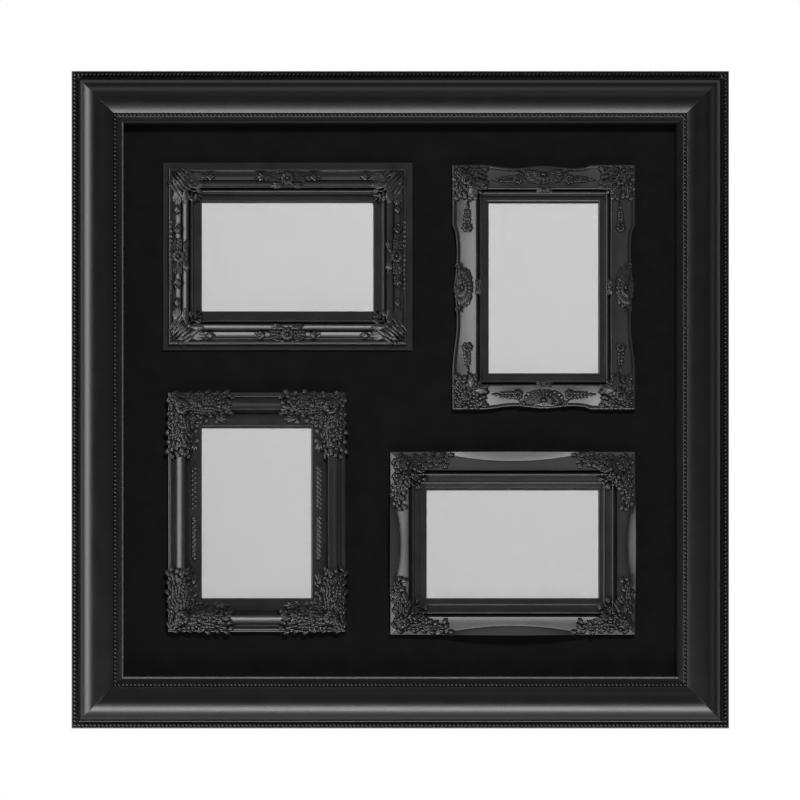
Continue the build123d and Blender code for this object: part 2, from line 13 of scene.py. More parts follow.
import bmesh
import bpy
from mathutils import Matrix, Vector


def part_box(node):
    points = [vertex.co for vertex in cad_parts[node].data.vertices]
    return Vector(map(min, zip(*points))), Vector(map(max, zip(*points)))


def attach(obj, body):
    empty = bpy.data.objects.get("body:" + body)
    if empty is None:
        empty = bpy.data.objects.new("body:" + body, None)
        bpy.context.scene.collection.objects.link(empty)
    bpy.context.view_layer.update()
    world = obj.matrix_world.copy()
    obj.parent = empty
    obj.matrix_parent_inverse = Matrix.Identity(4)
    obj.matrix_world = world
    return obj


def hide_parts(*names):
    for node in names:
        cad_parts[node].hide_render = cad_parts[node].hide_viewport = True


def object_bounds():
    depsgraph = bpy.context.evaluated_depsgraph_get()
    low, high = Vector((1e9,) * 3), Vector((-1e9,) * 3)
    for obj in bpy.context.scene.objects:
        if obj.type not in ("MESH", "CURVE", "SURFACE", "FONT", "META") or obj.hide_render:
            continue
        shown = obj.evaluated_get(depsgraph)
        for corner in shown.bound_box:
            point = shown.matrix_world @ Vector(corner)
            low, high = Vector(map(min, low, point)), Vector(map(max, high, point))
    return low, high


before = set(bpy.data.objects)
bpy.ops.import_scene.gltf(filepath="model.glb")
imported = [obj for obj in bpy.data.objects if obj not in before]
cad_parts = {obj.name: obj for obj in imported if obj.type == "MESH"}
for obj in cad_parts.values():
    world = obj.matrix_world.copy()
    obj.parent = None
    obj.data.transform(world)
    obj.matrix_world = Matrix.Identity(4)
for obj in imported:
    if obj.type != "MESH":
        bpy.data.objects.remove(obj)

MM = 0.001
cad_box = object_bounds()
half_side = cad_box[1].x
print("the frame is", round(2 * half_side / MM, 1), "mm square")

# %% [markdown]
# ## Handling pieces as by hand
# Blender's operators act on whatever is selected, so each step first leaves one
# piece selected. In edit mode, points or edges are then picked by where they lie,
# which does in code what clicking does on the screen.

# %% Choose a piece, and pick parts of it
merge_distance = 0.01 * MM
seam_distance = 0.001 * MM


def only(*pieces):
    """Leaves just these pieces selected, the first one active."""
    bpy.ops.object.select_all(action="DESELECT")
    for piece in pieces:
        piece.select_set(True)
    bpy.context.view_layer.objects.active = pieces[0]
    return pieces[0]


def open_up(piece, kind="VERT"):
    """Goes into edit mode on one piece."""
    only(piece)
    bpy.ops.object.mode_set(mode="EDIT")
    bpy.ops.mesh.select_mode(type=kind)


def close_up():
    """Goes back to object mode."""
    bpy.ops.object.mode_set(mode="OBJECT")
    return bpy.context.object


def pick(test, kind="verts"):
    """Selects only the points or edges whose middle passes the test."""
    mesh = bpy.context.object.data
    shape = bmesh.from_edit_mesh(mesh)
    bpy.ops.mesh.select_all(action="DESELECT")
    for part in getattr(shape, kind):
        place = part.co if kind == "verts" else (part.verts[0].co + part.verts[1].co) / 2
        if test(place, part):
            part.select_set(True)
    shape.select_flush_mode()
    bmesh.update_edit_mesh(mesh)


def settle(piece):
    """Puts the piece's place into its mesh, so that its object is at the origin."""
    only(piece)
    bpy.ops.object.transform_apply(location=True, rotation=True, scale=True)
    return piece


def tidy(piece, angle=38):
    """Merges doubles, turns the faces outwards and smooths the gentle edges."""
    open_up(piece)
    bpy.ops.mesh.select_all(action="SELECT")
    bpy.ops.mesh.remove_doubles(threshold=merge_distance)
    bpy.ops.mesh.normals_make_consistent(inside=False)
    close_up()
    bpy.ops.object.shade_smooth_by_angle(angle=radians(angle))
    return piece


def modify(piece, kind, **settings):
    """Adds a modifier with these settings and applies it."""
    only(piece)
    modifier = piece.modifiers.new("Shape", kind)
    for name, value in settings.items():
        setattr(modifier, name, value)
    bpy.ops.object.modifier_apply(modifier="Shape")
    return piece


def soften(piece, width, angle=30):
    """Rounds the sharp edges a little, as paint does, and keeps the flats flat in the light."""
    modify(
        piece, "BEVEL", width=width * MM, segments=2, limit_method="ANGLE", angle_limit=radians(angle)
    )
    tidy(piece)
    modify(piece, "WEIGHTED_NORMAL", keep_sharp=True, weight=60)


def copy_of(piece, name):
    """A copy with its own mesh."""
    only(piece)
    bpy.ops.object.duplicate()
    bpy.context.object.name = name
    return bpy.context.object


def join(pieces, name):
    """Joins pieces into one."""
    only(*pieces)
    bpy.ops.object.join()
    bpy.context.object.name = name
    return bpy.context.object


print("points closer than", round(merge_distance / MM, 3), "mm are merged")

# %% [markdown]
# ## Drawing a moulding's section
# A moulding is one outline carried along a length. The outline is drawn the way a
# joiner marks it out: from a single point, by straight runs and by arcs. A straight
# run is the point extruded once, and an arc is the point extruded in short steps of
# a few degrees each. A row with one pair is a run to that point, and a row with two
# pairs is an arc through the first to the second. Pairs are millimetres in from the
# outer edge and millimetres up from the back.

# %% Draw an outline from a table of runs and arcs
def arc_centre(a, b, c):
    """The centre of the circle through three points in a plane, and the turn from a to c."""
    ax, ay, bx, by, cx, cy = *a, *b, *c
    d = 2 * (ax * (by - cy) + bx * (cy - ay) + cx * (ay - by))
    sa, sb, sc = ax * ax + ay * ay, bx * bx + by * by, cx * cx + cy * cy
    x = (sa * (by - cy) + sb * (cy - ay) + sc * (ay - by)) / d
    y = (sa * (cx - bx) + sb * (ax - cx) + sc * (bx - ax)) / d
    start, middle, end = (atan2(p[1] - y, p[0] - x) for p in (a, b, c))
    way = 1 if (middle - start) % (2 * pi) < (end - start) % (2 * pi) else -1
    return (x, y), way * ((end - start) * way % (2 * pi))


def flat_line(rows, step=9):
    """The outline's points, with each arc divided every so many degrees."""
    points = [rows[0][0]]
    for row in rows[1:]:
        if len(row) == 1:
            points.append(row[0])
            continue
        (x, y), turn = arc_centre(points[-1], *row)
        count = max(2, round(abs(degrees(turn)) / step))
        px, py = points[-1][0] - x, points[-1][1] - y
        for number in range(1, count + 1):
            a = turn * number / count
            points.append((x + px * cos(a) - py * sin(a), y + px * sin(a) + py * cos(a)))
    return points


def draw(name, points):
    """Draws a chain of edges through points in space, by extruding one point."""
    bpy.ops.object.select_all(action="DESELECT")
    bpy.ops.mesh.primitive_plane_add(size=MM, location=(0, 0, 0))
    piece = bpy.context.object
    piece.name = name
    open_up(piece)
    bpy.ops.mesh.merge(type="CENTER")
    bpy.ops.transform.translate(value=points[0])
    for last, place in zip(points, points[1:]):
        bpy.ops.mesh.extrude_vertices_move(
            TRANSFORM_OT_translate={"value": Vector(place) - Vector(last)}
        )
    return piece


rail_rows = [
    ((0.0, 0.0),), ((0.0, 18.2),), ((0.3, 18.9), (1.0, 19.2)), ((1.5, 19.0),),
    ((5.0, 18.9),), ((5.6, 18.4),), ((6.4, 18.6),), ((7.0, 20.0),),
    ((11.7, 31.3), (23.0, 36.0)), ((30.0, 35.1), (36.4, 32.3)), ((36.6, 31.0),),
    ((39.2, 30.9),), ((39.5, 29.9),), ((42.6, 29.4),), ((43.2, 29.4),),
    ((44.2, 29.9), (45.0, 30.7)), ((45.0, 13.0),), ((37.0, 13.0),), ((37.0, 0.0),), ((0.0, 0.0),),
]
rail_line = flat_line(rail_rows, step=5)
print("the rail's outline has", len(rail_line), "points")

# %% [markdown]
# ## The outer rails
# A rail is a moulded length sawn at 45 degrees at both ends. So the outline is drawn
# at one end, extruded to the other, and the two ends are bisected, which is the saw
# cut. The pearls are a row of small half balls along the outer edge and another by
# the sight edge. One is modelled with few faces, because there are over a thousand,
# and an Array modifier repeats it along the rail. The rail is then copied for the
# other three sides.

# %% Extrude the bottom rail and saw its mitres
rail_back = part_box("bottom_rail")[1].y


def rail_place(x, u, h):
    """A point of the bottom rail: x along it, u in from its edge and h up from its back."""
    return Vector((x, rail_back - h * MM, u * MM - half_side))


rail = draw("bottom_rail_dressed", [rail_place(-half_side, u, h) for u, h in rail_line])
bpy.ops.mesh.select_all(action="SELECT")
bpy.ops.mesh.remove_doubles(threshold=seam_distance)
bpy.ops.mesh.extrude_region_move(
    TRANSFORM_OT_translate={"value": (2 * half_side, 0, 0)}
)
for way in (-1, 1):
    bpy.ops.mesh.select_all(action="SELECT")
    bpy.ops.mesh.bisect(
        plane_co=(way * half_side, 0, -half_side),
        plane_no=(way, 0, 1),
        use_fill=True,
        clear_outer=True,
    )
close_up()
tidy(rail)
soften(rail, 0.2, 28)
print("the rail has", len(rail.data.polygons), "faces")

# %% Make one pearl and its two rows
def pearl_row(name, u, h, radius, pitch):
    """A row of half pearls along the bottom rail, from one mitre to the next, in millimetres."""
    start = rail_place(u * MM - half_side, u, h)
    bpy.ops.object.select_all(action="DESELECT")
    bpy.ops.mesh.primitive_uv_sphere_add(
        segments=10, ring_count=6, radius=radius * MM, location=start, rotation=(pi / 2, 0, 0)
    )
    pearl = settle(bpy.context.object)
    open_up(pearl)
    pick(lambda place, part: place.y > start.y + 0.3 * radius * MM)
    bpy.ops.mesh.delete(type="VERT")
    bpy.ops.mesh.select_all(action="DESELECT")
    close_up()
    run = 2 * (half_side - u * MM)
    count = round(run / (pitch * MM))
    modify(
        pearl,
        "ARRAY",
        count=count,
        use_relative_offset=False,
        use_constant_offset=True,
        constant_offset_displace=(run / count, 0, 0),
    )
    bpy.ops.object.shade_smooth()
    pearl.name = name
    print(name, "has", count, "pearls")
    return pearl


outer_pearls = pearl_row("outer_pearls", u=3.1, h=19.5, radius=1.5, pitch=3.4)
inner_pearls = pearl_row("inner_pearls", u=37.9, h=31.1, radius=1.3, pitch=3.4)
rail = join([rail, outer_pearls, inner_pearls], "bottom_rail_dressed")

# %% Copy the rail for the other three sides
rails = [rail]
for side, turn in (("right", -90), ("top", 180), ("left", 90)):
    other = copy_of(rail, f"{side}_rail_dressed")
    other.rotation_euler = (0, radians(turn), 0)
    rails.append(settle(other))
for piece in rails:
    middle = sum((v.co for v in piece.data.vertices), Vector()) / len(piece.data.vertices)
    print(piece.name, "lies at", [round(c / MM) for c in middle])

# %% [markdown]
# ## The small frames' mouldings
# Each small frame is one casting, but its moulding is laid out as if it were mitred.
# Its outline is drawn on the corner's diagonal and spun in four steps round the
# window's middle, which gives a square ring with true mitres. Its halves are then
# moved apart, which draws the square out to the print's shape. Under the inner edge
# a recess is left for the glass, a little wider along the window's long sides than
# at its ends. The work lies flat with its face up, and is stood on the board later.

# %% Draw a moulding round a window
board_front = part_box("reeded_frame")[1].y
end_recess, side_recess = 4.05, 5.05
glass_seat = 2.4


def mould(name, half_x, half_y, band, foot, rows):
    """A closed moulding round a window, lying on its back, window in the middle.

    The band is its width, and the foot is how far its back reaches past the band.
    """
    line = flat_line(rows)
    short = min(half_x, half_y)
    wall = band - end_recess
    seat = [(band, glass_seat), (wall, glass_seat), (wall, 0.0), (-foot, 0.0)]
    points = [(short + band - u, short + band - u, h) for u, h in [*line, *seat]]
    piece = draw(name, [Vector(p) * MM for p in points])
    bpy.ops.mesh.select_all(action="SELECT")
    bpy.ops.mesh.spin(steps=4, angle=2 * pi, center=(0, 0, 0), axis=(0, 0, 1))
    bpy.ops.mesh.select_all(action="SELECT")
    bpy.ops.mesh.remove_doubles(threshold=seam_distance)
    for axis, half in enumerate((half_x, half_y)):
        for way in (1, -1):
            move = [0, 0, 0]
            move[axis] = way * (half - short) * MM
            pick(lambda place, part: place[axis] * way > 0)
            bpy.ops.transform.translate(value=move)
            if half == short:
                past_wall = (half + end_recess + 0.1) * MM
                move[axis] = way * (side_recess - end_recess) * MM
                pick(
                    lambda place, part: place.z < (glass_seat + 0.1) * MM
                    and (half + 1) * MM < place[axis] * way < past_wall
                )
                bpy.ops.transform.translate(value=move)
    close_up()
    return tidy(piece)


def divide(piece, cuts=36, long_edge=40):
    """Cuts the four sides across into short stations, so that they can be shaped."""
    open_up(piece, "EDGE")
    pick(lambda place, part: part.calc_length() > long_edge * MM, "edges")
    bpy.ops.mesh.subdivide(number_cuts=cuts)
    close_up()


reeded_rows = [
    ((-5.0, 0.0),), ((-5.0, 3.7),), ((-4.8, 3.8),), ((0.0, 3.8),), ((0.0, 8.6),),
    ((1.5, 10.2), (3.0, 9.0)), ((4.6, 8.8),), ((7.4, 11.7), (10.2, 13.1)), ((10.7, 10.6),),
    ((11.1, 12.7),), ((13.6, 15.6), (16.6, 17.0)), ((17.6, 9.4),), ((18.6, 13.2),),
    ((19.4, 14.6), (20.3, 13.2)), ((21.4, 5.2),), ((27.8, 4.3),), ((28.0, 3.6),),
]
shell_rows = [
    ((0.0, 0.0),), ((0.0, 6.6),), ((0.9, 8.1), (2.4, 7.7)), ((3.1, 6.9),),
    ((11.6, 11.2), (19.4, 16.6)), ((20.2, 17.0), (21.0, 16.4)), ((21.9, 9.2),),
    ((22.9, 12.2),), ((23.9, 13.5), (24.8, 12.5)), ((25.6, 5.8),), ((29.0, 5.4),),
    ((29.9, 5.6), (31.0, 4.0)),
]
rose_rows = [
    ((2.4, 0.0),), ((2.4, 6.8),), ((3.4, 7.2),), ((4.7, 9.3), (6.4, 8.4)),
    ((7.0, 7.8),), ((8.0, 8.0),), ((8.4, 10.8),), ((12.0, 14.4), (16.5, 16.3)),
    ((18.8, 5.2),), ((20.6, 6.2),), ((24.0, 6.6), (27.4, 5.8)),
    ((30.6, 5.3),), ((31.0, 3.8),),
]
berry_rows = [
    ((0.0, 0.0),), ((0.0, 7.1),), ((0.4, 7.3),), ((0.8, 7.6),), ((9.4, 12.9),),
    ((12.4, 14.9), (15.4, 16.4)), ((16.7, 9.4),), ((18.3, 12.6),),
    ((18.9, 13.9), (19.8, 13.0)), ((20.6, 9.0),), ((25.0, 8.4),), ((25.8, 9.2), (26.8, 8.4)),
    ((27.2, 5.6),), ((30.6, 5.1),), ((31.0, 3.8),),
]
rows_of = {
    "reeded": reeded_rows, "shell": shell_rows, "rose": rose_rows, "berry": berry_rows
}
wide_band = 31.0
band_of = {"reeded": 28.0, "shell": wide_band, "rose": wide_band, "berry": wide_band}
foot_of = {"reeded": 5.0, "shell": 0.0, "rose": -2.4, "berry": 0.0}
upright = {"reeded": False, "shell": True, "rose": True, "berry": False}
window_long, window_short = 73.2, 46.8


def halves(name):
    """Half the window's width and height for a small frame, in millimetres."""
    return (window_short, window_long) if upright[name] else (window_long, window_short)


mouldings = {}
for name, rows in rows_of.items():
    half_x, half_y = halves(name)
    mouldings[name] = mould(
        f"{name}_moulding", half_x, half_y, band_of[name], foot_of[name], rows
    )
    print(mouldings[name].name, len(mouldings[name].data.polygons), "faces")

# %% [markdown]
# ## Shaping the long edges
# Two of the castings aren't straight. The shell frame's edge sways: it draws in
# either side of the middle of each side. The berry frame's edge lifts at the middle
# of each side into a long thin lens that leans towards the window. Both are cut
# across into stations first, and shaped station by station, by moving or squeezing
# one row of points at a time. Proportional editing would take fewer steps, but its
# falloff has a fixed form that doesn't follow these curves.

# %% Sway the shell frame's edge
edge_round = 0.25


def sides(half_x, half_y):
    """For each side: the axis across it, the way out, and half the opening there and along."""
    return [(0, 1, half_x, half_y), (0, -1, half_x, half_y),
            (1, 1, half_y, half_x), (1, -1, half_y, half_x)]


def stations(piece, axis, way, inner):
    """The places along one side where the moulding was cut across, each over 1 mm from the last."""
    found = []
    for place in sorted(v.co[1 - axis] for v in piece.data.vertices if v.co[axis] * way > inner):
        if not found or place - found[-1] > MM:
            found.append(place)
    return found


def on_station(place, axis, way, across, along, mark):
    """Tells if a point lies on one cut. The cuts spread from the window to the outer edge."""
    inwards = (across + wide_band) * MM - place[axis] * way
    expected = mark * (1 - inwards / ((along + wide_band) * MM))
    return abs(place[1 - axis] - expected) < 0.03 * MM


shell = mouldings["shell"]
divide(shell)
groove, hollow = 21.4, 3.0
sway_share, beside_share, long_middle_share, short_middle_share = 0.68, 0.80, 0.75, 0.30
for axis, way, across, along in sides(*halves("shell")):
    reach = along + wide_band
    line = (across + wide_band - groove) * MM
    marks = stations(shell, axis, way, (across + wide_band - 0.1) * MM)
    middle_share = long_middle_share if along > across else short_middle_share
    open_up(shell)
    for mark in marks:
        share = abs(mark) / MM / reach / sway_share
        if share >= 1:
            continue
        drawn = beside_share * sin(pi * share) ** 2 + middle_share * cos(pi * share / 2) ** 2
        squeeze = 1 - hollow * drawn / groove
        value, centre = [1, 1, 1], [0, 0, 0]
        value[axis], centre[axis] = squeeze, way * line
        pick(
            lambda place, part: place[axis] * way > line
            and on_station(place, axis, way, across, along, mark)
        )
        bpy.ops.transform.resize(value=value, center_override=centre)
    close_up()
soften(shell, edge_round)
print("shell moulding", len(shell.data.polygons), "faces")

# %% Lift the berry frame's lenses
berry = mouldings["berry"]
divide(berry)
lens_share, lens_depth, lens_out = 0.60, 6.9, 0.3
bed_slope, inner_slope, outer_slope = 0.616, 0.68, 0.76
inner_step, outer_step = 0.3, 0.1
for axis, way, across, along in sides(*halves("berry")):
    reach = along + wide_band
    edge = across + wide_band
    marks = stations(berry, axis, way, (across + wide_band - 0.1) * MM)
    open_up(berry)
    for mark in marks:
        share = 1 - (mark / MM / reach / lens_share) ** 2
        if share <= 0:
            continue
        drawn_in, out = lens_depth * share, lens_out * share
        low = bed_slope * drawn_in
        middle = low + inner_step * share + inner_slope * drawn_in / 2
        for u, move_out, up in (
            (0.0, out, middle + outer_step * share + outer_slope * (drawn_in / 2 + out)),
            (0.4, -drawn_in / 2, middle),
            (0.8, -drawn_in, low),
        ):
            line = (edge - u) * MM
            move = [0, 0, up * MM]
            move[axis] = way * move_out * MM
            pick(
                lambda place, part: abs(place[axis] * way - line) < 0.1 * MM
                and on_station(place, axis, way, across, along, mark)
                and place.z > MM
            )
            bpy.ops.transform.translate(value=move)
    close_up()
for name in ("reeded", "rose", "berry"):
    soften(mouldings[name], edge_round)
print("berry moulding", len(berry.data.polygons), "faces")

# %% [markdown]
# ## Leaves, from one recipe
# Most of the carving is made of leaves: lobed acanthus leaves, small bracts and
# leaflets, and the fans of the shells. A leaf starts as a disc of triangles round a
# heart point. The heart is moved towards the root, every other rim point is drawn
# in, which cuts the lobes, and each triangle is inset and raised by itself, which
# leaves veins between them. The rim is then extruded down as a skirt that sinks into
# the moulding. The few large leaves are subdivided once. The small ones are laid by
# the hundred, so they stay as they are. Leaves are modelled one unit long, lying
# along X, and copied at their sizes later.

# %% Model a leaf
def leaf(name, rim, lobes, heart, rise, root, tip, vein, swell, lift=0.0, soft=True):
    """One leaf, from its number of rim points and how far every other one is drawn in.

    The veins meet at the heart, which stands as high as the rise. Root and tip are
    the widths of the two ends. Vein is half a vein's width, and swell is how far the
    lobes stand above it. Lift raises the lobes' points. A soft leaf is subdivided.
    """
    skirt = 0.7
    bpy.ops.object.select_all(action="DESELECT")
    bpy.ops.mesh.primitive_circle_add(
        vertices=rim, radius=0.5, fill_type="TRIFAN", location=(0.5, 0, 0), rotation=(0, 0, pi)
    )
    piece = settle(bpy.context.object)
    piece.name = name
    open_up(piece)
    middle = Vector((0.5, 0, 0))
    pick(lambda place, part: (place - middle).length < 0.1)
    bpy.ops.transform.translate(value=(heart - 0.5, 0, rise))

    def on_rim(place, odd):
        away = place - middle
        number = round(degrees(atan2(away.y, away.x)) * rim / 360)
        return place.z < 0.01 and number % 2 == odd

    pick(lambda place, part: on_rim(place, 1))
    bpy.ops.transform.resize(value=(lobes, lobes, 1), center_override=(0.45, 0, 0))
    pick(lambda place, part: place.x < 0.32 and place.z < 0.01)
    bpy.ops.transform.resize(value=(1, root, 1), center_override=(0, 0, 0))
    pick(lambda place, part: place.x > 0.8 and place.z < 0.01)
    bpy.ops.transform.resize(value=(1, tip, 1), center_override=(0.9, 0, 0))
    if lift:
        pick(lambda place, part: on_rim(place, 0) and place.x > 0.3)
        bpy.ops.transform.translate(value=(0, 0, lift))
    bpy.ops.mesh.select_all(action="SELECT")
    bpy.ops.mesh.inset(thickness=vein, depth=swell, use_individual=True)
    bpy.ops.mesh.select_all(action="SELECT")
    bpy.ops.mesh.region_to_loop()
    bpy.ops.mesh.extrude_region_move(TRANSFORM_OT_translate={"value": (0, 0, -skirt)})
    bpy.ops.mesh.edge_face_add()
    bpy.ops.mesh.select_all(action="SELECT")
    bpy.ops.mesh.normals_make_consistent(inside=False)
    close_up()
    if soft:
        modify(piece, "SUBSURF", levels=1, render_levels=1)
    bpy.ops.object.shade_smooth()
    print(name, len(piece.data.polygons), "faces")
    return piece


kinds = {
    "acanthus": leaf(
        "acanthus", rim=14, lobes=0.78, heart=0.16, rise=0.24, root=0.6, tip=0.8,
        vein=0.025, swell=0.07, lift=0.10,
    ),
    "fan": leaf(
        "fan", rim=16, lobes=0.93, heart=0.06, rise=0.10, root=0.9, tip=1.0,
        vein=0.022, swell=0.10, lift=0.16,
    ),
    "bract": leaf(
        "bract", rim=12, lobes=0.72, heart=0.20, rise=0.26, root=0.6, tip=0.8,
        vein=0.035, swell=0.10, lift=0.12, soft=False,
    ),
    "leaflet": leaf(
        "leaflet", rim=8, lobes=0.90, heart=0.40, rise=0.28, root=0.6, tip=0.5,
        vein=0.03, swell=0.07, soft=False,
    ),
}

# %% [markdown]
# ## Berries and scrolls
# The rest is round work. A berry is half a ball. A scroll is a ring of points that
# is extruded again and again, each time turned and shrunk about the scroll's eye, so
# it winds in like a fern.

# %% Model a berry and a scroll
def berry_ball():
    """Half a ball, flat below."""
    bpy.ops.object.select_all(action="DESELECT")
    bpy.ops.mesh.primitive_uv_sphere_add(segments=12, ring_count=8, radius=0.5)
    piece = bpy.context.object
    piece.name = "berry"
    open_up(piece)
    pick(lambda place, part: place.z < -0.3)
    bpy.ops.mesh.delete(type="VERT")
    bpy.ops.mesh.select_all(action="SELECT")
    bpy.ops.mesh.region_to_loop()
    bpy.ops.mesh.edge_face_add()
    close_up()
    bpy.ops.object.shade_smooth()
    return piece


def scroll(turns=1.6, steps=12, shrink=0.90, thick=0.17):
    """A tapering volute, one unit across, wound about its eye."""
    bpy.ops.object.select_all(action="DESELECT")
    bpy.ops.mesh.primitive_circle_add(
        vertices=8, radius=thick, fill_type="NGON", location=(0.42, 0, 0), rotation=(pi / 2, 0, 0)
    )
    piece = settle(bpy.context.object)
    piece.name = "scroll"
    open_up(piece, "FACE")
    bpy.ops.mesh.select_all(action="SELECT")
    for number in range(round(turns * steps)):
        bpy.ops.mesh.extrude_region_move(TRANSFORM_OT_translate={"value": (0, 0, 0.004)})
        bpy.ops.transform.rotate(
            value=2 * pi / steps, orient_axis="Z", center_override=(0, 0, 0)
        )
        bpy.ops.transform.resize(value=(shrink, shrink, shrink), center_override=(0, 0, 0))
    close_up()
    tidy(piece, 60)
    return piece


kinds["berry"] = berry_ball()
kinds["scroll"] = scroll()
for piece in (kinds["berry"], kinds["scroll"]):
    print(piece.name, len(piece.data.polygons), "faces")

# %% [markdown]
# ## Laying the carving on the mouldings
# A spray is a list of leaves. Each row gives the kind, the place of its root, its
# length, width and height in millimetres, and the way it points. The place is
# measured in from a corner along both sides, or from a side's middle and its edge.
# A row marked as a pair is laid again, mirrored over the mitre or over the middle.
# Later rows lie on earlier ones, so each is lifted a little. Leaves take only a
# share of their listed height, so that all can be made flatter or bolder together.
# When a spray is whole, each of its points is raised by the height of the moulding
# under it, so the leaves drape over the beads and grooves as a casting's do. A
# Shrinkwrap modifier would press them flat, so this is the one place where points
# are moved one by one.

# %% Lay a spray
relief = 0.64
spray_lift = 1.8


def lay(kind, x, y, long, wide, high, heading, flip=1, lift=0.0, unit=MM):
    """One copy of a leaf at its place, size and heading, in millimetres and degrees."""
    piece = copy_of(kinds[kind], "sprig")
    piece.location = (x * unit, y * unit, lift * unit)
    piece.scale = (long * unit, flip * wide * unit, high * unit)
    piece.rotation_euler = (0, 0, radians(heading))
    return piece


def gather(laid, name):
    """Joins leaves into one spray, with its faces turned outwards."""
    only(*laid)
    bpy.ops.object.transform_apply(location=True, rotation=True, scale=True)
    bpy.ops.object.join()
    piece = bpy.context.object
    piece.name = name
    open_up(piece)
    bpy.ops.mesh.select_all(action="SELECT")
    bpy.ops.mesh.normals_make_consistent(inside=False)
    close_up()
    return piece


def spray(name, rows, middle=False):
    """One spray. A pair is mirrored over the mitre, or over a side's middle."""
    laid = []
    for number, (kind, x, y, long, wide, high, heading, pair) in enumerate(rows):
        lift = spray_lift * number / len(rows)
        if kind not in ("berry", "scroll"):
            high *= relief
        laid.append(lay(kind, x, y, long, wide, high, heading, lift=lift))
        if pair and middle:
            laid.append(lay(kind, -x, y, long, wide, high, 180 - heading, flip=-1, lift=lift))
        elif pair:
            laid.append(lay(kind, y, x, long, wide, high, 90 - heading, flip=-1, lift=lift))
    return gather(laid, name)


def ring(kind, x, y, headings, count, out, size, stretch=1.0):
    """Rows for leaves that stand round a point, from one heading to another."""
    first, last = headings
    long, wide, high = size
    rows = []
    for number in range(count):
        turn = radians(first + (last - first) * number / (count - 1))
        dx, dy = stretch * cos(turn), sin(turn)
        at = (x + out * dx, y + out * dy)
        rows.append((kind, *at, long * hypot(dx, dy), wide, high, degrees(atan2(dy, dx)), False))
    return rows


def thicket(places, size, heading):
    """Bracts set close together, a little astray, to fill the ground between the bold leaves."""
    stray, sway = 1.2, 40
    return [
        ("bract", x + stray * sin(5.1 * y), y + sin(4.3 * x), *size,
         heading + sway * sin(2.3 * x + 1.7 * y), True)
        for x, y in places
    ]


print("leaves take", relief, "of their listed height")

# %% Build fronds and a palm from leaflets
def leaflet(x, y, long, wide, high, heading, lift=0.0):
    """One leaflet of a leaf that is one unit long."""
    return lay("leaflet", x, y, long, wide, high, heading, lift=lift, unit=1)


def frond(name, bend, pairs=4, spread=52):
    """An acanthus frond: leaflets in pairs along a bending stem, one at its tip, and a rib."""
    stem, longest, shrink, climb = 0.62, 0.40, 0.16, 0.03
    laid = []
    x, y, heading = 0.0, 0.0, 0.0
    step = stem / pairs
    for number in range(pairs):
        long = longest - shrink * number / pairs
        for way in (1, -1):
            laid.append(leaflet(x, y, long, 0.20, 0.9, heading + way * spread, climb * number))
        x += step * cos(radians(heading))
        y += step * sin(radians(heading))
        heading += bend / pairs
    laid.append(leaflet(x - 0.04, y, longest, 0.22, 1.0, heading, climb * pairs))
    laid.append(leaflet(0, 0, 0.70, 0.12, 1.5, bend * 0.30, 0.05))
    return gather(laid, name)


def palm():
    """Seven long leaflets side by side, fanned a little, the middle one longest and on top."""
    laid = []
    for number in (-3, 3, -2, 2, -1, 1, 0):
        aside = abs(number)
        long, high = 1.0 - 0.13 * aside, 1.25 - 0.1 * aside
        laid.append(leaflet(0.04 * aside, 0.125 * number, long, 0.17, high, 4 * number))
    return gather(laid, "palm")


kinds["frond"] = frond("frond", bend=0)
kinds["curl"] = frond("curl", bend=70)
kinds["palm"] = palm()
for name in ("frond", "curl", "palm"):
    print(name, len(kinds[name].data.polygons), "faces")

# %% Drape a spray over its moulding
face_above = 4.1
fill_reach, smooth_reach = 3, 4
mitre_blend, overhang_fall, sink = 3.0, 0.8, 0.5


def around(heights, number, reach):
    """The heights from some steps before one to as many steps after it."""
    return heights[max(number - reach, 0):number + reach + 1]


def bed_of(name):
    """The heights of a moulding's face each half millimetre in, grooves filled and steps eased."""
    line = [point for point in flat_line(rows_of[name]) if point[1] > face_above]
    raw = []
    for number in range(round(2 * band_of[name]) + 1):
        at = number / 2
        found = [
            h0 + (h1 - h0) * (at - u0) / (u1 - u0)
            for (u0, h0), (u1, h1) in zip(line, line[1:])
            if u0 < u1 and u0 <= at <= u1
        ]
        raw.append(max(found, default=line[0][1]))
    filled = [max(around(raw, number, fill_reach)) for number in range(len(raw))]
    near = [around(filled, number, smooth_reach) for number in range(len(raw))]
    return [sum(heights) / len(heights) for heights in near]


def drape(piece, name, corner):
    """Raises each point by the height of the moulding below it.

    A corner spray follows both sides, blended over the mitre. Past the outer edge
    the leaves fall away, and all of them sink in a little.
    """
    bed = bed_of(name)
    for point in piece.data.vertices:
        u = point.co.y / MM
        if corner:
            x, y = point.co.x / MM, u
            u = min(x, y) - max(0.0, mitre_blend - abs(x - y)) ** 2 / (4 * mitre_blend)
        at = min(max(2 * u, 0.0), len(bed) - 1.001)
        low = int(at)
        height = bed[low] + (bed[low + 1] - bed[low]) * (at - low)
        point.co.z += (height + min(u, 0.0) * overhang_fall - sink) * MM
    return piece


def place_corners(piece, name):
    """Copies of a corner spray, mirrored onto the frame's four corners."""
    half_x, half_y = halves(name)
    laid = []
    for sx in (1, -1):
        for sy in (1, -1):
            copy = copy_of(piece, f"{name}_corner")
            copy.scale = (-sx, -sy, 1)
            copy.location = (
                sx * (half_x + band_of[name]) * MM, sy * (half_y + band_of[name]) * MM, 0
            )
            laid.append(settle(copy))
            if sx * sy < 0:
                open_up(copy)
                bpy.ops.mesh.select_all(action="SELECT")
                bpy.ops.mesh.normals_make_consistent(inside=False)
                close_up()
    return laid


